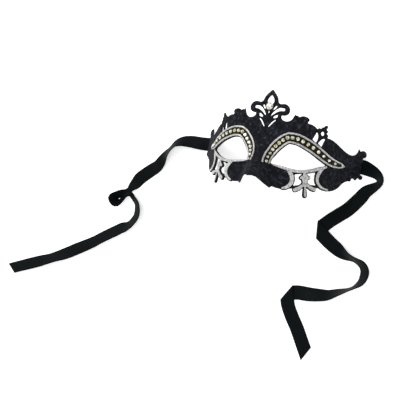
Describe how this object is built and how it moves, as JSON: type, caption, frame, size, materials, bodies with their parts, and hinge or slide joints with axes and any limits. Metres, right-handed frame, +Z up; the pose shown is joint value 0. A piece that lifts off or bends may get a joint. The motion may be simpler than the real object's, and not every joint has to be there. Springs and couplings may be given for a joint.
{
  "type": "venetian half mask",
  "caption": "Curved half mask for the upper face, with eye openings, a raised nose, pierced scrollwork, stone-set brow lines and long loose tie ribbons.",
  "frame": {"origin": "on the surface it lies on, under the middle of the mask's overall box, ribbons left out", "axes": "+Z up, out of the mask's face; +Y towards the crest; +X towards the temple on the right of the picture"},
  "size_m": [0.444, 0.2636, 0.095],
  "materials": {
    "mask_cloth": "flocked, matt, finely mottled",
    "silver_glitter": "silver glitter line",
    "stone_bed": "dark gold glitter",
    "brow_stones": "cut, foil-backed",
    "crest_stone": "cut, pearly",
    "ribbon": "satin"
  },
  "bodies": {
    "root": {"mask_shell": "mask_cloth", "stone_bed_left": "stone_bed", "brow_trim_left": "silver_glitter", "eye_filigree_left": "silver_glitter", "brow_stone_left_01": "brow_stones", "brow_stone_left_02": "brow_stones", "brow_stone_left_03": "brow_stones", "brow_stone_left_04": "brow_stones", "brow_stone_left_05": "brow_stones", "brow_stone_left_06": "brow_stones", "brow_stone_left_07": "brow_stones", "brow_stone_left_08": "brow_stones", "brow_stone_left_09": "brow_stones", "brow_stone_left_10": "brow_stones", "brow_stone_left_11": "brow_stones", "brow_stone_left_12": "brow_stones", "brow_stone_left_13": "brow_stones", "brow_stone_left_14": "brow_stones", "brow_stone_left_15": "brow_stones", "brow_stone_left_16": "brow_stones", "brow_stone_left_17": "brow_stones", "stone_bed_right": "stone_bed", "brow_trim_right": "silver_glitter", "eye_filigree_right": "silver_glitter", "brow_stone_right_01": "brow_stones", "brow_stone_right_02": "brow_stones", "brow_stone_right_03": "brow_stones", "brow_stone_right_04": "brow_stones", "brow_stone_right_05": "brow_stones", "brow_stone_right_06": "brow_stones", "brow_stone_right_07": "brow_stones", "brow_stone_right_08": "brow_stones", "brow_stone_right_09": "brow_stones", "brow_stone_right_10": "brow_stones", "brow_stone_right_11": "brow_stones", "brow_stone_right_12": "brow_stones", "brow_stone_right_13": "brow_stones", "brow_stone_right_14": "brow_stones", "brow_stone_right_15": "brow_stones", "brow_stone_right_16": "brow_stones", "brow_stone_right_17": "brow_stones", "crest_stone": "crest_stone", "ribbon_left": "ribbon", "ribbon_right": "ribbon"}
  },
  "joints": []
}
